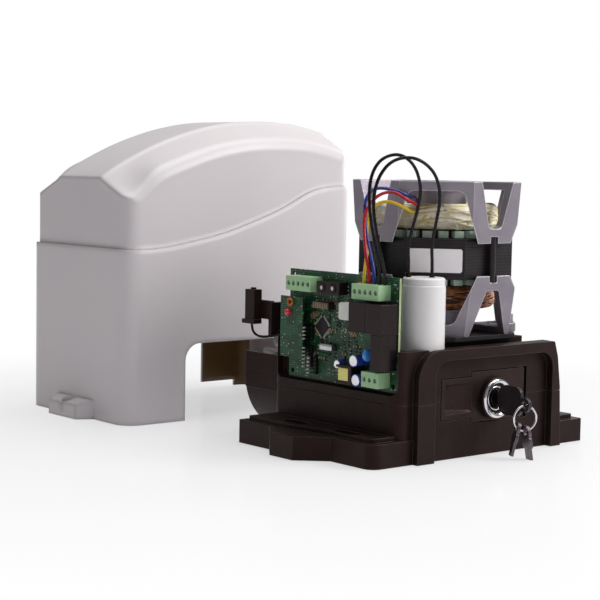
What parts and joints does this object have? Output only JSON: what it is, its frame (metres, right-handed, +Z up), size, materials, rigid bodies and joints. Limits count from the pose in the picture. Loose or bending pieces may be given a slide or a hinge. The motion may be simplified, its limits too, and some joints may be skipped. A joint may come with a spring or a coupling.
{
  "type": "sliding gate motor",
  "caption": "Sliding gate motor with its cover off: black gear case, open motor in cast brackets, control board, capacitor, release lock with keys, and the cover beside it.",
  "frame": {"origin": "centre of the mounting slots on the flat foundation face", "axes": "+Z up, +X along the gate, -Y to the release side, +Y to the rack side"},
  "size_m": [0.262, 0.3996, 0.2295],
  "materials": {
    "black_abs": "black abs",
    "black_pvc": "black pvc",
    "blue_pvc": "blue pvc",
    "blue_sleeve": "blue sleeve",
    "board_green": "board green",
    "bronze": "bronze",
    "can_white": "can white",
    "cast_aluminium": "cast aluminium",
    "chrome": "chrome",
    "copper": "copper",
    "cover_abs": "cover abs",
    "dark_steel": "dark steel",
    "key_steel": "key steel",
    "liner": "liner",
    "nickel": "nickel",
    "red_pvc": "red pvc",
    "relay_black": "relay black",
    "rubber": "rubber",
    "silicon_steel": "silicon steel",
    "steel": "steel",
    "tape": "tape",
    "terminal_green": "terminal green",
    "white_plastic": "white plastic",
    "yellow_pvc": "yellow pvc"
  },
  "bodies": {
    "housing": {"lower_housing": "black_abs", "upper_housing": "black_abs", "pinion_guard": "black_abs", "lever_pin": "steel", "front_bush": "bronze", "rear_bush": "bronze", "upper_bracket": "cast_aluminium", "lower_bracket": "cast_aluminium", "motor_plate": "dark_steel", "stator_core": "silicon_steel", "slot_liners": "liner", "upper_winding": "tape", "lower_winding": "copper", "motor_bolts": "steel", "tie_bolts": "dark_steel", "upper_bearing": "steel", "lower_bearing": "steel", "worm_bearing": "steel", "capacitor": "can_white", "capacitor_tags": "rubber", "main_board": "board_green", "plug_in_board": "board_green", "left_terminal": "terminal_green", "right_terminal": "terminal_green", "lower_terminal": "terminal_green", "relays": "relay_black", "power_relay": "relay_black", "board_choke": "relay_black", "board_capacitors": "blue_sleeve", "varistor": "blue_sleeve", "control_chip": "relay_black", "pin_headers": "relay_black", "trimmer_block": "relay_black", "sensor_arm": "black_abs", "travel_sensor": "black_abs", "black_lead_a": "black_pvc", "black_lead_b": "black_pvc", "red_lead": "red_pvc", "blue_lead": "blue_pvc", "yellow_lead": "yellow_pvc", "sensor_lead": "black_pvc"},
    "rotor": {"rotor_core": "steel", "motor_shaft": "steel", "worm": "steel"},
    "output": {"worm_wheel": "bronze", "output_shaft": "steel", "rack_pinion": "steel", "pinion_clip": "steel"},
    "lever": {"release_lever": "black_abs", "lock_body": "chrome"},
    "lock": {"lock_plug": "chrome", "lock_cam": "steel", "key": "key_steel"},
    "keys": {"key_ring": "chrome", "spare_key": "nickel"},
    "trimmer_a": {"trimmer_a": "white_plastic"},
    "trimmer_b": {"trimmer_b": "white_plastic"},
    "cover": {"cover": "cover_abs", "cover_screws": "steel"}
  },
  "joints": [
    {"name": "output_spin", "type": "hinge", "parent": "housing", "child": "output", "pos_m": [-0.023, 0.0005, 0.039], "axis": [0, 1, 0], "continuous": true},
    {"name": "rotor_spin", "type": "hinge", "parent": "housing", "child": "rotor", "pos_m": [0.017, 0.0005, 0.1], "axis": [0, 0, 1], "continuous": true},
    {"name": "lever_swing", "type": "hinge", "parent": "housing", "child": "lever", "pos_m": [0.0445, -0.0567, 0.039], "axis": [0, 0, 1], "range_deg": [0, 90]},
    {"name": "lock_turn", "type": "hinge", "parent": "lever", "child": "lock", "pos_m": [0.0162, -0.0637, 0.038], "axis": [0, 1, 0], "range_deg": [0, 90]},
    {"name": "keys_swing", "type": "hinge", "parent": "lock", "child": "keys", "pos_m": [0.0162, -0.0887, 0.036], "axis": [0, 1, 0], "range_deg": [-18, 18]},
    {"name": "trimmer_a_turn", "type": "hinge", "parent": "housing", "child": "trimmer_a", "pos_m": [-0.0764, 0.0135, 0.1112], "axis": [1, 0, 0], "range_deg": [-135, 135]},
    {"name": "trimmer_b_turn", "type": "hinge", "parent": "housing", "child": "trimmer_b", "pos_m": [-0.0764, 0.0025, 0.1112], "axis": [1, 0, 0], "range_deg": [-135, 135]},
    {"name": "cover_lift", "type": "slide", "parent": "housing", "child": "cover", "axis": [0, 0, 1], "range_m": [0, 0.25]}
  ],
  "couplings": [
    {"joint": "rotor_spin", "follows": "output_spin", "ratio": 25}
  ]
}
